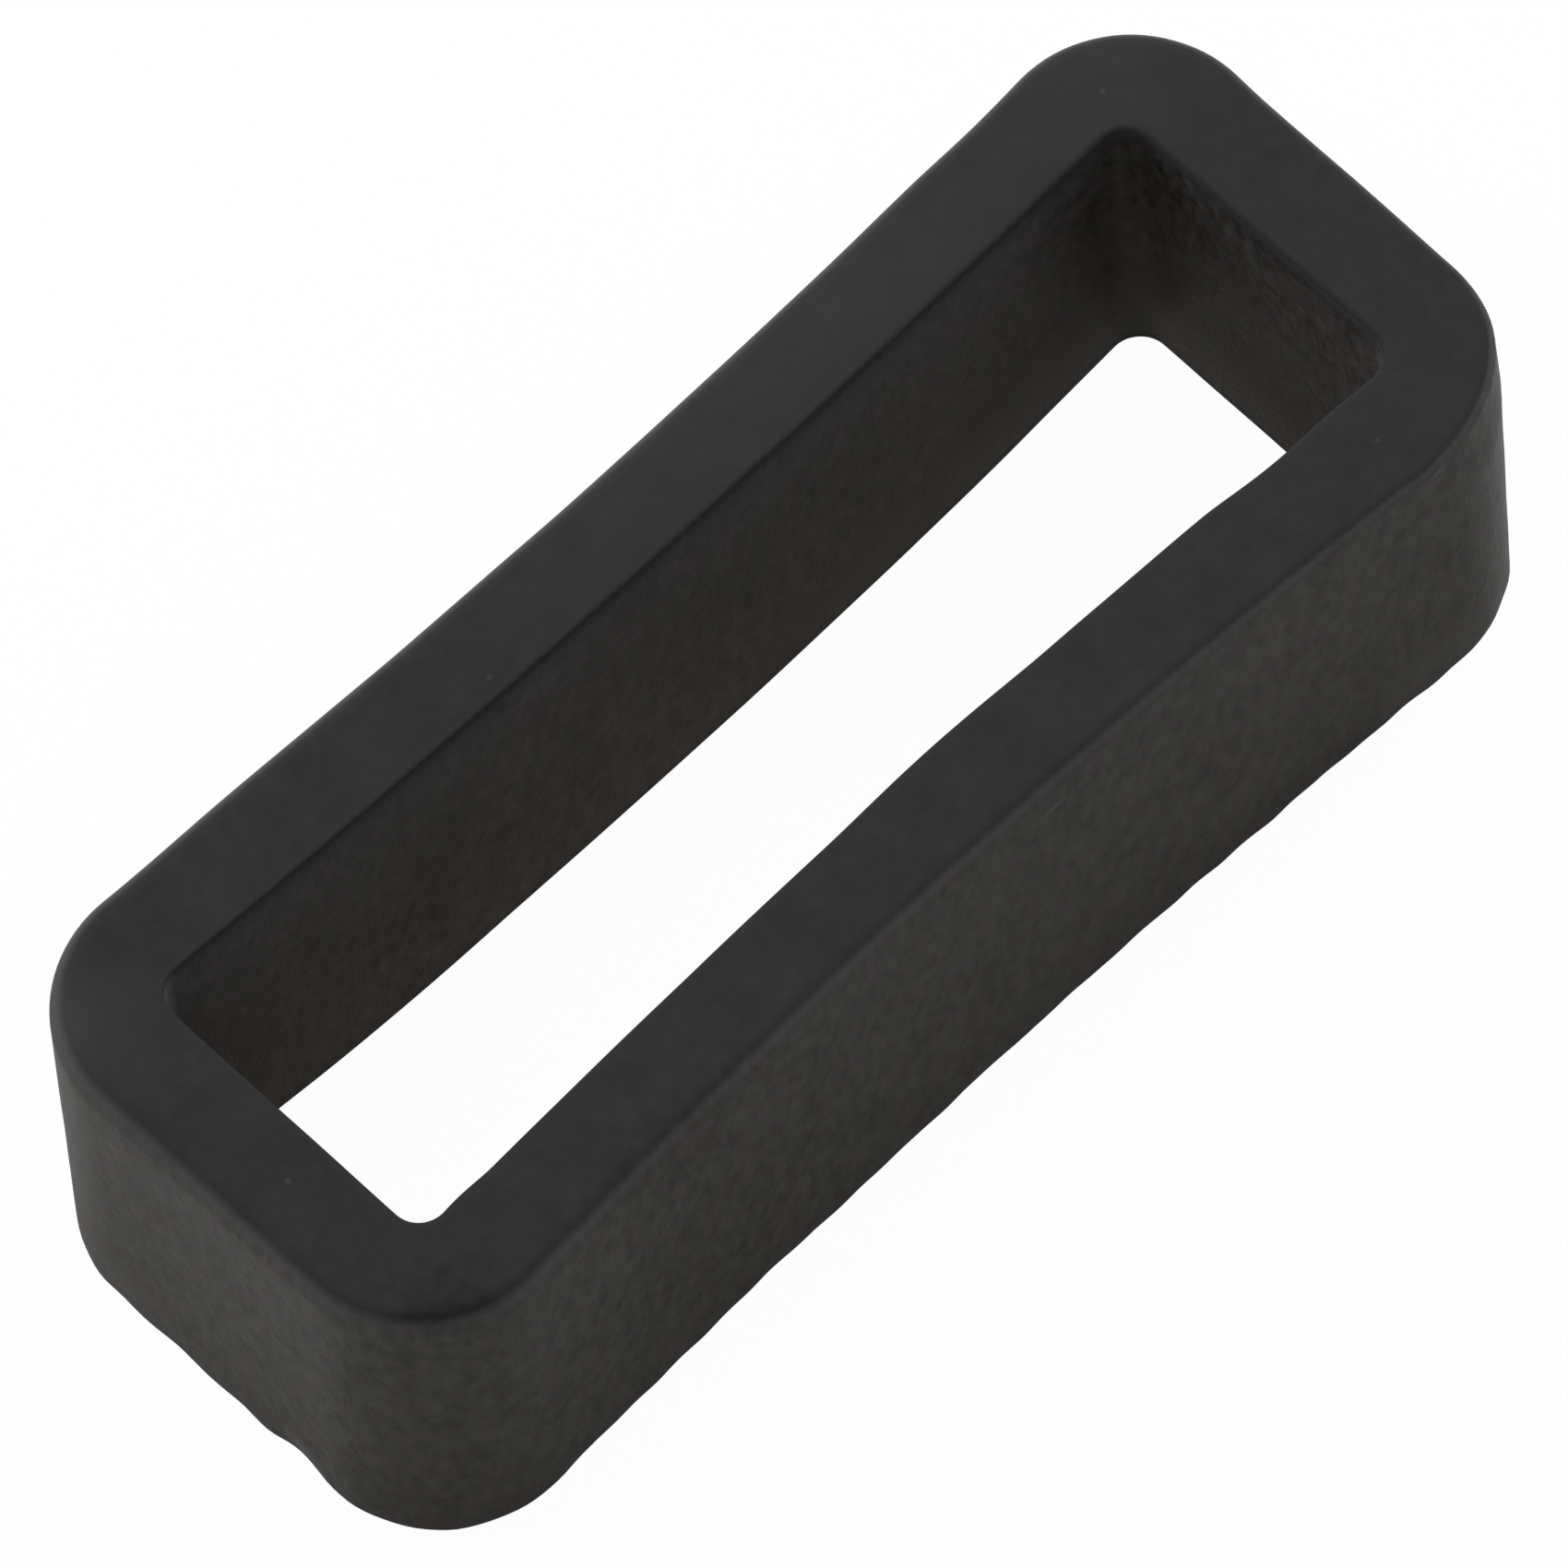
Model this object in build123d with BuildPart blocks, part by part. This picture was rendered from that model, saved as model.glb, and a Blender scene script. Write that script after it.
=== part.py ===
import os
from math import atan2, degrees

from build123d import *

# Strap keeper: one moulded rubber loop that holds the loose end of a watch strap.
# X runs across the strap, Y through its thickness and Z along it.
# The origin is the middle of the opening on the lower end face, and +Z is up.

# The strap that the keeper holds
strap_width = 22.0
strap_side_clearance = 0.5
strap_layer_thickness = 3.0
strap_layers = 2
strap_stack_clearance = 0.45

# The loop's own sizes
wall_thickness = 1.97
band_width = 7.65
waist_draw_in = 0.31
opening_corner_radius = 0.6
upper_edge_radius = 0.38
lower_edge_radius = 0.12
opening_edge_radius = 0.05

opening_length = strap_width + 2 * strap_side_clearance
opening_height = strap_layers * strap_layer_thickness + strap_stack_clearance


# An outline with straight ends, round corners and long sides drawn in at the waist.
# A long side is one arc, tangent to the corner arcs at its ends, so each corner turns past
# a quarter turn by twice the slope from the corner to the waist.
def waisted_outline(length, height, corner_radius, draw_in):
    corner_reach = length / 2 - corner_radius
    lean = 2 * degrees(atan2(draw_in, corner_reach))
    with BuildSketch() as outline:
        with BuildLine():
            end_run = Line((length / 2, 0), (length / 2, height / 2 - corner_radius))
            corner = JernArc(end_run @ 1, end_run % 1, corner_radius, 90 + lean)
            TangentArc(corner @ 1, (0, height / 2 - draw_in), tangent=corner % 1)
            mirror(about=Plane.YZ)
            mirror(about=Plane.XZ)
        make_face()
    return outline.sketch


opening_outline = waisted_outline(opening_length, opening_height, opening_corner_radius, waist_draw_in)

# The loop: an even wall round the opening, with a soft upper edge outside, and crisp edges
# below and at the opening
with BuildPart() as keeper_loop:
    with BuildSketch():
        add(opening_outline)
        offset(amount=wall_thickness, kind=Kind.ARC)
    extrude(amount=band_width)
    upper_face = keeper_loop.faces().sort_by(Axis.Z)[-1]
    fillet(upper_face.edges(), radius=upper_edge_radius)
    lower_face = keeper_loop.faces().sort_by(Axis.Z)[0]
    fillet(lower_face.edges(), radius=lower_edge_radius)
    with BuildSketch():
        add(opening_outline)
    extrude(amount=band_width, mode=Mode.SUBTRACT)
    end_faces = keeper_loop.faces().filter_by(Axis.Z)
    opening_rims = [edge for face in end_faces for wire in face.inner_wires() for edge in wire.edges()]
    fillet(opening_rims, radius=opening_edge_radius)

keeper_loop.part.label = "keeper_loop"

os.makedirs("parts", exist_ok=True)
export_step(keeper_loop.part, "parts/keeper_loop.step")
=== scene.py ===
import math

import bpy
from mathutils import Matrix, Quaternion, Vector, noise


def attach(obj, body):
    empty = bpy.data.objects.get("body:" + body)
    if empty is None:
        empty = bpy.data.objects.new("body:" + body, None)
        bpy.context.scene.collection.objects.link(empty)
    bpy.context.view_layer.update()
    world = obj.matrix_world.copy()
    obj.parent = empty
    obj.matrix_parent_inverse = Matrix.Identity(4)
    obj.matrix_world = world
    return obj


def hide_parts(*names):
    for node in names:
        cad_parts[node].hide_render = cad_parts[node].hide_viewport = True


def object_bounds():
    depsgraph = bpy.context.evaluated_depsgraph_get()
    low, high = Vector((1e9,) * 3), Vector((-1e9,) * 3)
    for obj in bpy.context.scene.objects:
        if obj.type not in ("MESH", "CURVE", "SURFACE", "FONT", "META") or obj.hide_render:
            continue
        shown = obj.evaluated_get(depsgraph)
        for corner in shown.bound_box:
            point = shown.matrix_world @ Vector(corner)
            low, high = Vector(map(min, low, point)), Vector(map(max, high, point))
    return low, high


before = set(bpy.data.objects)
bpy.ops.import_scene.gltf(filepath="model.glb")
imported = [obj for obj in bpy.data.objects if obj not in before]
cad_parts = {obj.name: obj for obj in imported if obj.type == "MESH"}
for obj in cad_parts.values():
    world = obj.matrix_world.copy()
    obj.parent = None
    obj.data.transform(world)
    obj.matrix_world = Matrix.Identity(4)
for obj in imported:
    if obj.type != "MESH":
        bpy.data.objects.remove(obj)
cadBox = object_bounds()
print("frame loaded")

mm = 0.001  # sizes below are in millimetres, objects in metres


# The keeper is a soft moulding, so each wall is a little off its nominal thickness and bow.
# Back is the face it stands on, front the upper one; near and far are -Y and +Y.
keeper = {
    "length": 26.94,
    "height": 10.394,
    "walls": {"near": 2.022, "far": 1.92, "left": 2.029, "right": 1.957},
    "outerCorner": 2.616,
    "openingCorner": 0.58,
    "outerDrawIn": {"nearBack": 0.28, "nearFront": 0.428, "farBack": 0.284, "farFront": 0.284},
    "openingDrawIn": {"nearBack": 0.326, "nearFront": 0.326, "farBack": 0.338, "farFront": 0.244},
    # radii of the rounded edges at the corners, even between them
    "frontEdge": {"nearLeft": 0.45, "nearRight": 0.22, "farLeft": 0.46, "farRight": 0.36},
    "backEdge": {"nearLeft": 0.10, "nearRight": 0.10, "farLeft": 0.10, "farRight": 0.10},
    "openingEdge": {"nearLeft": 0.05, "nearRight": 0.12, "farLeft": 0.05, "farRight": 0.12},
    "unevenness": 0.012,  # how far the moulded skin wanders each way
    "unevenSpan": 2.0,
    "unevenShift": 40.0,  # sets the wander in the opening apart from the one outside
    "footRipple": 0.04,  # ripples of the lower outer edge, fading out upwards
    "rippleSpan": 0.75,
    "rippleReach": 0.8,
    "grainBegins": 0.3,  # where the wall's grain begins and is full, as shares of the way
    "grainFull": 0.55,  # round a rounded outer edge from the face
    # places where the skin stands a little proud of its even shape or is dented (below zero)
    "swells": {
        "outer": [
            {"at": (-7.3, 5.0, 7.65), "reach": 3.5, "proud": 0.065},
            {"at": (-3.0, 5.0, 7.65), "reach": 3.5, "proud": 0.03},
            {"at": (9.9, 5.1, 7.65), "reach": 1.7, "proud": -0.03},
            {"at": (12.2, 4.8, 7.65), "reach": 1.7, "proud": 0.055},
            {"at": (13.4, 1.0, 7.65), "reach": 3.0, "proud": -0.02},
            {"at": (13.4, -2.6, 7.65), "reach": 2.6, "proud": -0.05},
            {"at": (13.2, 3.6, 7.65), "reach": 1.8, "proud": 0.045},
            {"at": (-12.6, -4.3, 7.65), "reach": 2.6, "proud": -0.03},
            {"at": (-12.7, -4.3, 0.0), "reach": 3.0, "proud": 0.05},
            {"at": (11.8, -4.85, 7.65), "reach": 2.0, "proud": -0.12},
            {"at": (10.3, -5.1, 7.65), "reach": 0.5, "proud": 0.04},
            {"at": (-13.4, -1.75, 0.0), "reach": 0.9, "proud": -0.10},
        ],
        "opening": [
            {"at": (8.6, -3.2, 7.65), "reach": 1.6, "proud": -0.07},
            {"at": (-10.6, -3.1, 7.65), "reach": 0.9, "proud": 0.05},
            {"at": (0.9, -2.83, 7.65), "reach": 2.6, "proud": 0.06},
            {"at": (-6.8, 3.07, 0.0), "reach": 4.5, "proud": 0.045},
        ],
    },
    # how finely the mesh is divided along each stretch
    "steps": {
        "corner": 24,
        "end": 36,
        "long": 150,
        "wall": 30,
        "face": 14,
        "outerEdge": 14,
        "openingEdge": 5,
    },
}


def spread(start, stop, count):
    return [start + (stop - start) * i / count for i in range(count)]


# One closed line round the loop at one height, as rows of x, y and the outward normal's x and y,
# in the order right end, far side, left end, near side. The drawn-in sides are arcs tangent to
# the corners.
def loopLine(left, right, near, far, corner, nearDrawIn, farDrawIn):
    middle = (left + right) / 2
    reach = (right - left) / 2 - corner
    steps = keeper["steps"]
    line = []

    def arc(centreX, centreY, radius, startAngle, stopAngle, count):
        for angle in spread(startAngle, stopAngle, count):
            normal = (math.cos(angle), math.sin(angle))
            line.append((centreX + radius * normal[0], centreY + radius * normal[1], *normal))

    def side(edge, outward, drawIn, up):
        lean = 2 * math.atan2(drawIn, reach)
        bow = (reach**2 + drawIn**2) / (2 * drawIn) - corner
        arc(middle, edge - outward * (drawIn - bow), -bow, up + lean, up - lean, steps["long"])

    quarter = math.pi / 2
    nearLean = 2 * math.atan2(nearDrawIn, reach)
    farLean = 2 * math.atan2(farDrawIn, reach)
    for y in spread(near + corner, far - corner, steps["end"]):
        line.append((right, y, 1.0, 0.0))
    arc(right - corner, far - corner, corner, 0, quarter + farLean, steps["corner"])
    side(far, 1, farDrawIn, quarter)
    arc(left + corner, far - corner, corner, quarter - farLean, 2 * quarter, steps["corner"])
    for y in spread(far - corner, near + corner, steps["end"]):
        line.append((left, y, -1.0, 0.0))
    arc(left + corner, near + corner, corner, 2 * quarter, 3 * quarter + nearLean, steps["corner"])
    side(near, -1, nearDrawIn, 3 * quarter)
    arc(right - corner, near + corner, corner, 3 * quarter - nearLean, 4 * quarter, steps["corner"])
    return line


def buildKeeper():
    low, high = cadBox
    halfLength = keeper["length"] / 2
    longest = (high.x - low.x) / 2 / mm
    bandWidth = (high.z - low.z) / mm
    halfHeight = keeper["height"] / 2
    deepest = (high.y - low.y) / 2 / mm
    walls, steps = keeper["walls"], keeper["steps"]

    def drawIn(which, side, upShare):
        back, front = keeper[which][side + "Back"], keeper[which][side + "Front"]
        return back + (front - back) * upShare

    def outerLine(upShare):
        nearDrawIn = drawIn("outerDrawIn", "near", upShare)
        farDrawIn = drawIn("outerDrawIn", "far", upShare)
        return loopLine(-halfLength, halfLength, -halfHeight, halfHeight,
                        keeper["outerCorner"], nearDrawIn, farDrawIn)

    def openingLine(upShare):
        nearDrawIn = drawIn("openingDrawIn", "near", upShare)
        farDrawIn = drawIn("openingDrawIn", "far", upShare)
        return loopLine(-halfLength + walls["left"], halfLength - walls["right"],
                        -halfHeight + walls["near"], halfHeight - walls["far"],
                        keeper["openingCorner"], nearDrawIn, farDrawIn)

    # the rounding of an edge at a given place
    def radiusOf(edge, x, y):
        rightShare, farShare = (x / longest + 1) / 2, (y / deepest + 1) / 2
        near = edge["nearLeft"] + (edge["nearRight"] - edge["nearLeft"]) * rightShare
        far = edge["farLeft"] + (edge["farRight"] - edge["farLeft"]) * rightShare
        return near + (far - near) * farShare

    # a ring of the skin: placeOf gives the height and the inset into the rubber at a given place,
    # and the skin's slow wander, its foot ripples and its swells come on top
    def ring(lineOf, upShare, placeOf):
        outside = lineOf is outerLine
        sign = -1 if outside else 1
        ownSwells = keeper["swells"]["outer" if outside else "opening"]
        points = []
        for x, y, nx, ny in lineOf(upShare):
            z, inset = placeOf(x, y)
            wanderPlace = Vector((x + keeper["unevenShift"] * sign, y, z))
            depth = inset - keeper["unevenness"] * noise.noise(wanderPlace / keeper["unevenSpan"])
            if outside and z < keeper["rippleReach"]:
                ripple = noise.noise(Vector((x, y, 0)) / keeper["rippleSpan"])
                depth -= keeper["footRipple"] * ripple * (1 - z / keeper["rippleReach"])
            for swell in ownSwells:
                away = (Vector((x, y, z)) - Vector(swell["at"])).length / swell["reach"]
                if away < 1:
                    depth -= swell["proud"] * (1 - away**2) ** 2
            x += sign * depth * nx
            y += sign * depth * ny
            points.append((min(max(x, -longest), longest), min(max(y, -deepest), deepest), z))
        return points

    # the rings of one rounded edge, from the wall to the end face
    def edgeRings(lineOf, edge, count, top):
        rings = []
        for i in range(count + 1):
            turn = math.pi / 2 * i / count

            def placeOf(x, y):
                radius = radiusOf(edge, x, y)
                drop = radius * (1 - math.sin(turn))
                return bandWidth - drop if top else drop, radius * (1 - math.cos(turn))

            rings.append(ring(lineOf, 1 if top else 0, placeOf))
        return rings

    # the flat rings between two others
    def faceRings(start, stop):
        count = steps["face"]
        rings = []
        for i in range(1, count):
            rings.append([
                tuple(a + (b - a) * i / count for a, b in zip(startPoint, stopPoint))
                for startPoint, stopPoint in zip(start, stop)
            ])
        return rings

    def wallRings(lineOf, bottomEdge, topEdge):
        rings = []
        for share in spread(0, 1, steps["wall"])[1:]:

            def placeOf(x, y):
                bottom, top = radiusOf(bottomEdge, x, y), bandWidth - radiusOf(topEdge, x, y)
                return bottom + (top - bottom) * share, 0

            rings.append(ring(lineOf, share, placeOf))
        return rings

    frontEdge, backEdge, openingEdge = keeper["frontEdge"], keeper["backEdge"], keeper["openingEdge"]
    openingTop = edgeRings(openingLine, openingEdge, steps["openingEdge"], True)
    outerTop = edgeRings(outerLine, frontEdge, steps["outerEdge"], True)[::-1]
    outerBottom = edgeRings(outerLine, backEdge, steps["outerEdge"], False)
    openingBottom = edgeRings(openingLine, openingEdge, steps["openingEdge"], False)[::-1]
    openingWall = wallRings(openingLine, openingEdge, openingEdge)
    outerWall = wallRings(outerLine, backEdge, frontEdge)[::-1]
    plainFace = faceRings(openingTop[-1], outerTop[0])
    plainBack = faceRings(outerBottom[-1], openingBottom[0])

    # round the wall's section: rings, then their grained, inside, rim and rubbed-and-lit edge shares
    # from the first ring to the last, kept between 0 and 1
    off, on, rising, falling = (0, 0), (1, 1), (0, 1), (1, 0)
    begins, span = keeper["grainBegins"], keeper["grainFull"] - keeper["grainBegins"]
    intoGrain = (-begins / span, (1 - begins) / span)
    section = [
        (openingWall, on, on, off, off),
        (openingTop, falling, falling, on, off),
        (plainFace, off, off, off, off),
        (outerTop, intoGrain, off, off, falling),
        (outerWall, on, off, off, off),
        (outerBottom, intoGrain[::-1], off, off, rising),
        (plainBack, off, off, off, off),
        (openingBottom, rising, rising, on, off),
    ]
    points = []
    shares = {"grained": [], "inside": [], "rim": [], "rubbedAndLit": []}
    for rings, *ends in section:
        for i, line in enumerate(rings):
            points += line
            step = i / (len(rings) - 1)
            for values, (first, last) in zip(shares.values(), ends):
                share = min(max(first + (last - first) * step, 0.0), 1.0)
                values += [share] * len(line)

    around = len(outerWall[0])
    ringCount = len(points) // around
    faces = []
    for ringIndex in range(ringCount):
        thisRing, nextRing = ringIndex * around, (ringIndex + 1) % ringCount * around
        for i in range(around):
            following = (i + 1) % around
            faces.append((thisRing + i, thisRing + following, nextRing + following, nextRing + i))
    mesh = bpy.data.meshes.new("keeper")
    mesh.from_pydata([Vector(point) * mm for point in points], [], faces)
    mesh.validate()
    mesh.update()
    for name, values in shares.items():
        layer = mesh.attributes.new(name, "FLOAT", "POINT")
        layer.data.foreach_set("value", values)
    piece = bpy.data.objects.new("keeper", mesh)
    bpy.context.scene.collection.objects.link(piece)
    mesh.shade_smooth()
    return piece


keeperPiece = buildKeeper()
print("keeper:", len(keeperPiece.data.polygons), "faces")


# The rubber: smooth satin end faces, finely grained walls, duller and browner in the opening,
# whose colour carries painted light and shade. Sizes of the patterns are in millimetres.
rubber = {
    "faceColours": ((0.0280, 0.0281, 0.0298), (0.0389, 0.0390, 0.0413)),
    "wallColours": ((0.0355, 0.0342, 0.0325), (0.0780, 0.0753, 0.0716)),
    # the opening's rubber, painted lighter and browner for the light bounced in from the floor
    "openingLitColours": ((0.0510, 0.0458, 0.0405), (0.1200, 0.1078, 0.0960)),
    "rimColour": (0.0350, 0.0346, 0.0350),  # the rounded rims of the opening
    "brinkColour": (0.0455, 0.0432, 0.0405),  # the opening just under the upper rim
    "brinkDepth": 0.8,  # how far down that fades
    "openingLightAndShade": ((0.76, 0.81, 0.89), (1.14, 1.09, 1.02)),  # painted shade at the top, painted floor light at the foot
    "litAndRubbedEdgeColour": (0.092, 0.0912, 0.0900),  # the outer edges, rubbed and painted lighter for the light they catch
    "footPaintedShade": (0.91, 0.89, 0.865),  # painted shade: the outer walls darker towards the foot
    "tints": ((1.06, 0.972, 0.985), (0.945, 1.02, 1.0)),  # reddish and greenish places in the grain
    "specular": 0.0102,
    "sheen": 0.137,
    "sheenRoughness": 0.3,
    "faceRoughness": (0.50, 0.60),
    "wallRoughness": (0.56, 0.66),
    "openingRoughness": (0.48, 0.58),
    "footDulling": 0.10,  # roughness added at the foot of the walls
    "cloud": {"size": 0.9, "detail": 3.0},
    "mottle": {"size": 0.24, "detail": 2.0},
    "grain": {"size": 0.10, "detail": 1.0},
    "hue": {"size": 0.35, "detail": 3.0},
    "hueShift": (9, 9, 9),  # sets the hue's pattern apart from the clouds
    "stretch": 1.8,  # the patterns are drawn out along the band
    "faceMottle": 0.5,  # share of mottle over the clouds, on the faces and on the walls
    "wallMottle": 0.72,
    "wallGrain": 0.2,  # share of grain over both
    "bumpMottle": 0.3,  # share of mottle in the walls' bumps
    "grainHeight": 0.007,
    "faceHeight": 0.0025,
    "noiseSpread": (0.25, 0.75),  # nearly all of a noise's values lie between these
    # small worn, dusty or darker places, and some painted light and shade: where, how far each reaches,
    # and how much lighter its middle is, darker below zero
    "specksAndPaintedLight": [
        {"at": (1.77, -4.80, 6.84), "reach": (0.34, 0.3, 0.09), "lighter": 0.030},
        {"at": (-0.93, -4.80, 7.17), "reach": (0.12, 0.3, 0.12), "lighter": 0.012},
        {"at": (-9.46, -5.00, 4.67), "reach": (0.07, 0.2, 0.09), "lighter": 0.022},
        {"at": (10.49, -5.06, 7.38), "reach": (0.22, 0.2, 0.10), "lighter": 0.040},
        {"at": (11.59, 3.91, 7.65), "reach": (0.07, 0.07, 0.1), "lighter": 0.020},
        {"at": (-3.39, 3.41, 7.65), "reach": (0.08, 0.06, 0.1), "lighter": 0.020},
        {"at": (11.49, -1.47, 7.65), "reach": (0.06, 0.06, 0.1), "lighter": 0.020},
        {"at": (-12.28, -0.88, 7.65), "reach": (0.08, 0.08, 0.1), "lighter": 0.016},
        {"at": (10.13, -4.09, 7.65), "reach": (0.08, 0.07, 0.1), "lighter": 0.018},
        {"at": (-13.45, -1.94, 6.17), "reach": (0.2, 0.09, 0.1), "lighter": 0.020},
        {"at": (-13.45, 2.21, 6.22), "reach": (0.2, 0.2, 0.2), "lighter": 0.018},
        {"at": (-12.2, 3.4, 7.65), "reach": (1.5, 1.9, 0.5), "lighter": 0.0015},
        {"at": (5.0, 4.3, 7.65), "reach": (9.0, 1.8, 0.6), "lighter": 0.006},
        {"at": (12.0, 4.2, 7.65), "reach": (2.4, 2.2, 0.6), "lighter": 0.004},
        # painted highlight: a soft light band down the far left corner
        {"at": (-13.0, 4.0, 4.8), "reach": (1.6, 2.2, 6.0), "lighter": 0.015},
        {"at": (-13.2, 2.5, 0.4), "reach": (1.2, 1.4, 1.4), "lighter": 0.014},
        {"at": (10.4, -4.9, 0.3), "reach": (2.2, 1.4, 1.6), "lighter": 0.018},
        # painted shade: the near wall's left part darker, most of all round the near left corner's turn
        {"at": (-6.8, -4.95, 3.0), "reach": (5.5, 1.2, 3.4), "lighter": -0.007},
        {"at": (-7.2, -4.95, 6.8), "reach": (3.2, 1.0, 1.3), "lighter": -0.008},
        {"at": (-12.2, -4.3, 7.6), "reach": (1.2, 1.0, 0.5), "lighter": -0.010},
    ],
    # the same in the opening: painted shade under the rim at the right end, painted light from the floor
    # at the foot there, and darker low on the far wall
    "openingPaintedLightAndMarks": [
        {"at": (11.5, -0.9, 7.2), "reach": (0.8, 4.3, 3.4), "lighter": -0.045},
        {"at": (11.3, 3.0, 6.2), "reach": (2.4, 1.6, 3.0), "lighter": -0.025},
        {"at": (11.3, 3.0, 0.0), "reach": (9.0, 6.0, 2.6), "lighter": 0.060},
        {"at": (-4.3, 3.0, 2.2), "reach": (3.4, 1.0, 2.6), "lighter": -0.014},
    ],
    "markFade": (1.3, 0.3),  # where a mark begins and is full, in shares of its reach
    "markFray": 0.4,  # how far the mottle frays its edge
    # painted dark reflection: a darker line where the face turns down round the near left corner
    "cornerDarkReflection": {
        "centre": (-10.85, -2.58, 0.0),
        "radius": 2.37,
        "width": 0.16,
        "middle": (-11.9, -4.6, 7.6),
        "reach": 2.6,
        "shade": (0.78, 0.79, 0.80),
    },
}


# Short ways to add nodes to one material. What goes into a node is another node's output, or a
# plain number, vector or colour.
class NodeWriter:
    def __init__(self, material):
        material.use_nodes = True
        self.tree = material.node_tree
        self.shader = self.tree.nodes["Principled BSDF"]

    def put(self, socket, value):
        if isinstance(value, bpy.types.NodeSocket):
            self.tree.links.new(value, socket)
        else:
            socket.default_value = value

    def add(self, kind, output, **inputs):
        node = self.tree.nodes.new(kind)
        for name, value in inputs.items():
            self.put(node.inputs[name.replace("_", " ")], value)
        return node.outputs[output]

    def maths(self, operation, first, second):
        node = self.tree.nodes.new("ShaderNodeMath")
        node.operation = operation
        self.put(node.inputs[0], first)
        self.put(node.inputs[1], second)
        return node.outputs[0]

    def vector(self, operation, first, second):
        node = self.tree.nodes.new("ShaderNodeVectorMath")
        node.operation = operation
        self.put(node.inputs[0], first)
        self.put(node.inputs[1], second)
        return node.outputs[0]

    def length(self, vector):
        node = self.tree.nodes.new("ShaderNodeVectorMath")
        node.operation = "LENGTH"
        self.put(node.inputs[0], vector)
        return node.outputs["Value"]

    def ramp(self, value, start, stop, kind="LINEAR"):
        node = self.tree.nodes.new("ShaderNodeMapRange")
        node.interpolation_type = kind
        self.put(node.inputs["Value"], value)
        node.inputs["From Min"].default_value = start
        node.inputs["From Max"].default_value = stop
        return node.outputs["Result"]

    def mixColour(self, share, first, second, blend="MIX"):
        node = self.tree.nodes.new("ShaderNodeMix")
        node.data_type = "RGBA"
        node.blend_type = blend
        self.put(node.inputs["Factor"], share)
        for socket, colour in ((node.inputs[6], first), (node.inputs[7], second)):
            self.put(socket, (*colour, 1) if isinstance(colour, tuple) else colour)
        return node.outputs[2]

    def mixNumber(self, share, first, second):
        node = self.tree.nodes.new("ShaderNodeMix")
        self.put(node.inputs["Factor"], share)
        self.put(node.inputs["A"], first)
        self.put(node.inputs["B"], second)
        return node.outputs["Result"]

    def share(self, name):
        node = self.tree.nodes.new("ShaderNodeAttribute")
        node.attribute_name = name
        return node.outputs["Fac"]

    def pattern(self, place, size, detail):
        value = self.add("ShaderNodeTexNoise", "Fac", Vector=place, Scale=1 / size, Detail=detail)
        return self.ramp(value, *rubber["noiseSpread"])


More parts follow.
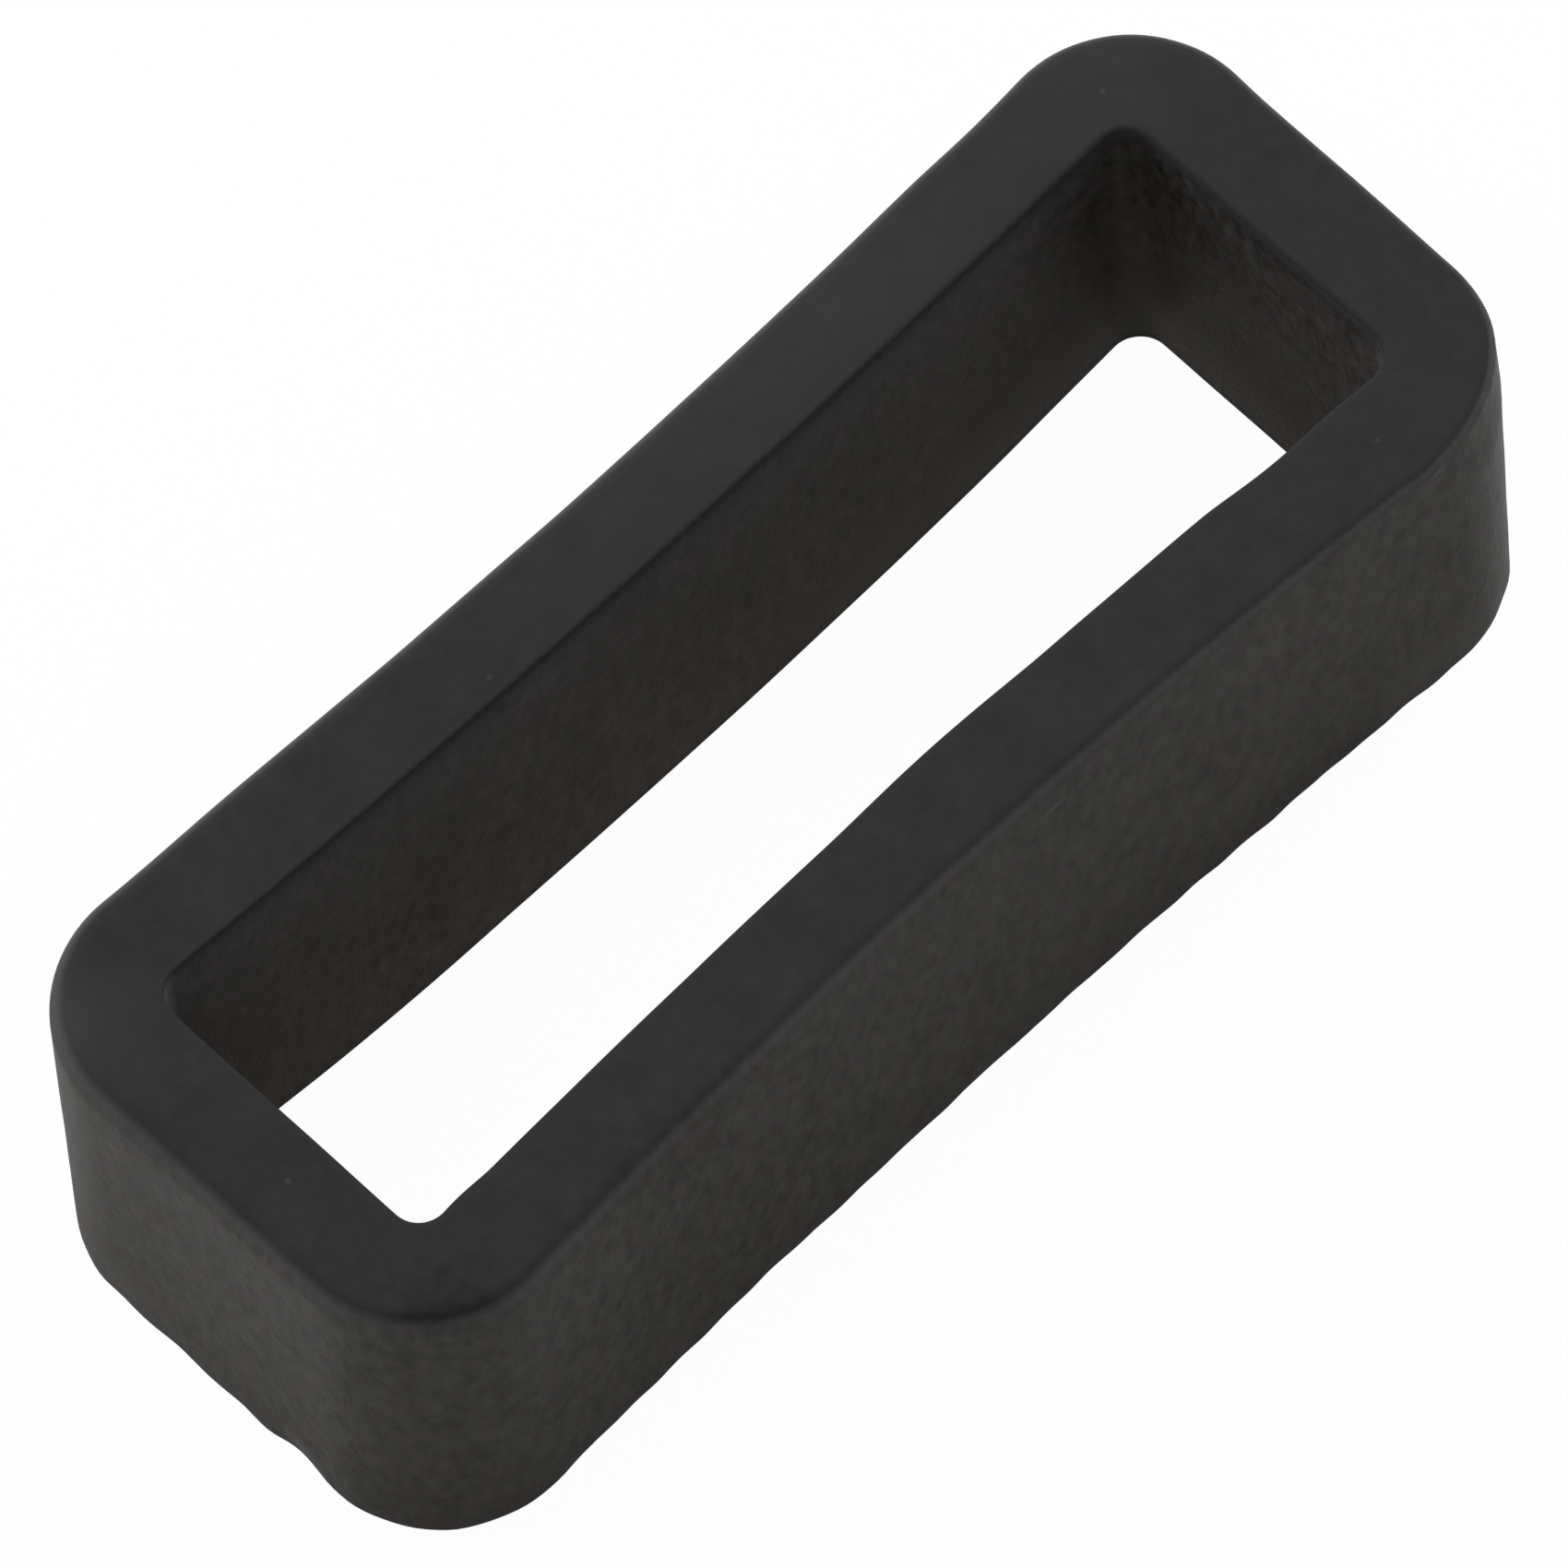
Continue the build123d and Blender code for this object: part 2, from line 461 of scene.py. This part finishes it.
def rubberMaterial():
    material = bpy.data.materials.new("mouldedRubber")
    nodes = NodeWriter(material)
    place = nodes.vector("MULTIPLY", nodes.add("ShaderNodeTexCoord", "Object"), (1 / mm,) * 3)
    drawnOut = nodes.vector("DIVIDE", place, (1, 1, rubber["stretch"]))

    grained, inside, rim, rubbedAndLit = (nodes.share(name) for name in ("grained", "inside", "rim", "rubbedAndLit"))
    cloud = nodes.pattern(drawnOut, **rubber["cloud"])
    mottle = nodes.pattern(drawnOut, **rubber["mottle"])
    grain = nodes.pattern(drawnOut, **rubber["grain"])
    hue = nodes.pattern(nodes.vector("ADD", drawnOut, rubber["hueShift"]), **rubber["hue"])
    broad = nodes.mixNumber(rubber["faceMottle"], cloud, mottle)
    fine = nodes.mixNumber(rubber["wallMottle"], cloud, mottle)
    fine = nodes.mixNumber(rubber["wallGrain"], fine, grain)

    # how far down towards the foot, and how near the upper rim
    upper = nodes.add("ShaderNodeSeparateXYZ", "Z", Vector=place)
    bandWidth = cadBox[1].z / mm
    foot = nodes.ramp(upper, bandWidth, 0.0)
    brink = nodes.ramp(upper, bandWidth - rubber["brinkDepth"], bandWidth)

    # each mark is a soft spot round its place, frayed by the mottle
    def withMarks(colour, places):
        for mark in places:
            offset = nodes.vector("SUBTRACT", place, mark["at"])
            away = nodes.length(nodes.vector("DIVIDE", offset, mark["reach"]))
            fray = nodes.maths("MULTIPLY", mottle, rubber["markFray"])
            fade = nodes.ramp(nodes.maths("ADD", away, fray), *rubber["markFade"], kind="SMOOTHSTEP")
            change = mark["lighter"]
            grey = (abs(change),) * 3
            colour = nodes.mixColour(fade, colour, grey, "ADD" if change > 0 else "SUBTRACT")
        return colour

    face = nodes.mixColour(broad, *rubber["faceColours"])
    wall = nodes.mixColour(fine, *rubber["wallColours"])
    # painted shade: the outer walls darker towards the foot
    wall = nodes.mixColour(foot, wall, rubber["footPaintedShade"], "MULTIPLY")
    # the outer edges' roundings lighter: wear, and painted light for the light they catch
    wall = nodes.mixColour(rubbedAndLit, wall, rubber["litAndRubbedEdgeColour"])
    # painted shade darkening the opening's top and painted light from the floor lifting its foot
    openingPaintedLight = nodes.mixColour(foot, *rubber["openingLightAndShade"])
    opening = nodes.mixColour(fine, *rubber["openingLitColours"])
    opening = nodes.mixColour(1.0, opening, openingPaintedLight, "MULTIPLY")
    opening = withMarks(nodes.mixColour(brink, opening, rubber["brinkColour"]), rubber["openingPaintedLightAndMarks"])
    colour = nodes.mixColour(grained, face, wall)
    colour = nodes.mixColour(inside, colour, opening)
    colour = nodes.mixColour(rim, colour, rubber["rimColour"])
    tint = nodes.mixColour(hue, *rubber["tints"])
    colour = nodes.mixColour(grained, colour, nodes.mixColour(1.0, colour, tint, "MULTIPLY"))

    # the painted dark reflection is an upright round line, fading out away from its middle
    cornerDarkReflection = rubber["cornerDarkReflection"]
    offset = nodes.vector("MULTIPLY", nodes.vector("SUBTRACT", place, cornerDarkReflection["centre"]), (1, 1, 0))
    offLine = nodes.maths("ABSOLUTE", nodes.maths("SUBTRACT", nodes.length(offset), cornerDarkReflection["radius"]), 0)
    line = nodes.ramp(offLine, cornerDarkReflection["width"], 0)
    nearby = nodes.length(nodes.vector("SUBTRACT", place, cornerDarkReflection["middle"]))
    line = nodes.maths("MULTIPLY", line, nodes.ramp(nearby, cornerDarkReflection["reach"], 0))
    colour = nodes.mixColour(line, colour, nodes.mixColour(1.0, colour, cornerDarkReflection["shade"], "MULTIPLY"))
    colour = withMarks(colour, rubber["specksAndPaintedLight"])

    faceRough = nodes.mixNumber(mottle, *rubber["faceRoughness"])
    wallRough = nodes.mixNumber(grain, *rubber["wallRoughness"])
    openingRough = nodes.mixNumber(grain, *rubber["openingRoughness"])
    wallRough = nodes.maths("ADD", wallRough, nodes.maths("MULTIPLY", foot, rubber["footDulling"]))
    rough = nodes.mixNumber(inside, nodes.mixNumber(grained, faceRough, wallRough), openingRough)
    shader = nodes.shader
    nodes.put(shader.inputs["Base Color"], colour)
    nodes.put(shader.inputs["Roughness"], rough)
    shader.inputs["Specular IOR Level"].default_value = rubber["specular"]
    shader.inputs["Sheen Weight"].default_value = rubber["sheen"]
    shader.inputs["Sheen Roughness"].default_value = rubber["sheenRoughness"]

    faceBump = nodes.maths("MULTIPLY", mottle, rubber["faceHeight"])
    wallBump = nodes.mixNumber(rubber["bumpMottle"], grain, mottle)
    wallBump = nodes.maths("MULTIPLY", wallBump, rubber["grainHeight"])
    height = nodes.maths("MULTIPLY", nodes.mixNumber(grained, faceBump, wallBump), mm)
    nodes.put(shader.inputs["Normal"], nodes.add("ShaderNodeBump", "Normal", Distance=1.0, Height=height))
    return material


keeperPiece.data.materials.append(rubberMaterial())
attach(keeperPiece, "root")
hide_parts("keeper_loop")
print("rubber on")


# The plain pale floor it lies on. What the camera and reflections see of it is lifted towards white.
floor = {"size": 2.0, "colour": (0.9, 0.9, 0.9), "roughness": 0.9, "lift": 0.97}


def anySeenRay(tree):
    path = tree.nodes.new("ShaderNodeLightPath")
    seen = path.outputs["Is Camera Ray"]
    for other in ("Is Glossy Ray", "Is Transmission Ray"):
        either = tree.nodes.new("ShaderNodeMath")
        either.operation = "MAXIMUM"
        tree.links.new(seen, either.inputs[0])
        tree.links.new(path.outputs[other], either.inputs[1])
        seen = either.outputs[0]
    return seen


def buildFloor():
    half = floor["size"] / 2
    corners = [(-half, -half, 0), (half, -half, 0), (half, half, 0), (-half, half, 0)]
    mesh = bpy.data.meshes.new("floor")
    mesh.from_pydata(corners, [], [(0, 1, 2, 3)])
    plane = bpy.data.objects.new("floor", mesh)
    bpy.context.scene.collection.objects.link(plane)
    material = bpy.data.materials.new("paleFloor")
    material.use_nodes = True
    tree = material.node_tree
    shader = tree.nodes["Principled BSDF"]
    shader.inputs["Base Color"].default_value = (*floor["colour"], 1)
    shader.inputs["Roughness"].default_value = floor["roughness"]
    shader.inputs["Specular IOR Level"].default_value = 0.0
    white = tree.nodes.new("ShaderNodeEmission")
    share = tree.nodes.new("ShaderNodeMath")
    share.operation = "MULTIPLY"
    tree.links.new(anySeenRay(tree), share.inputs[0])
    share.inputs[1].default_value = floor["lift"]
    mix = tree.nodes.new("ShaderNodeMixShader")
    tree.links.new(share.outputs[0], mix.inputs["Fac"])
    tree.links.new(shader.outputs["BSDF"], mix.inputs[1])
    tree.links.new(white.outputs["Emission"], mix.inputs[2])
    tree.links.new(mix.outputs["Shader"], tree.nodes["Material Output"].inputs["Surface"])
    mesh.materials.append(material)
    return plane


buildFloor()


# Soft studio light: an even surround and two large soft boxes, one high at the right and one low
# behind at the left. Their distances and sizes are in metres.
lighting = {
    "surround": 0.47,
    "boxes": {
        "softBoxRight": {"azimuth": 110, "elevation": 40, "distance": 0.35, "size": 0.22, "power": 0.77},
        "softBoxLeft": {"azimuth": -150, "elevation": 15, "distance": 0.30, "size": 0.22, "power": 0.52},
    },
}


# The direction from the keeper to something seen at an azimuth from the front and an elevation
def directionTo(azimuth, elevation):
    turn, rise = math.radians(azimuth), math.radians(elevation)
    level = math.cos(rise)
    return Vector((math.sin(turn) * level, -math.cos(turn) * level, math.sin(rise)))


def buildLight():
    world = bpy.data.worlds.new("studio")
    bpy.context.scene.world = world
    world.use_nodes = True
    background = world.node_tree.nodes["Background"]
    background.inputs["Color"].default_value = (1, 1, 1, 1)
    background.inputs["Strength"].default_value = lighting["surround"]

    for name, box in lighting["boxes"].items():
        lamp = bpy.data.lights.new(name, "AREA")
        lamp.shape = "SQUARE"
        lamp.size = box["size"]
        lamp.energy = box["power"]
        stand = bpy.data.objects.new(name, lamp)
        stand.visible_camera = False
        bpy.context.scene.collection.objects.link(stand)
        back = directionTo(box["azimuth"], box["elevation"])
        stand.location = back * box["distance"]
        stand.rotation_mode = "QUATERNION"
        stand.rotation_quaternion = (-back).to_track_quat("-Z", "Y")


buildLight()
print("floor and light set")


# The camera stands where the photograph was taken from: far off, with a long lens
camera = {
    "azimuth": -39.873,
    "elevation": 63.238,
    "roll": -5.31,
    "distance": 529.46,
    "aim": (-0.1139, -0.0663, 3.832),
    "lens": 722.17,
    "sensor": 36.0,
}


def buildCamera():
    back = directionTo(camera["azimuth"], camera["elevation"])
    lens = bpy.data.cameras.new("photoCamera")
    lens.lens = camera["lens"]
    lens.sensor_width = camera["sensor"]
    stand = bpy.data.objects.new("photoCamera", lens)
    bpy.context.scene.collection.objects.link(stand)
    stand.location = (Vector(camera["aim"]) + back * camera["distance"]) * mm
    stand.rotation_mode = "QUATERNION"
    roll = Quaternion((0, 0, 1), math.radians(camera["roll"]))
    stand.rotation_quaternion = (-back).to_track_quat("-Z", "Y") @ roll
    bpy.context.scene.camera = stand


buildCamera()
bpy.context.scene.view_settings.view_transform = "Standard"
bpy.context.view_layer.update()
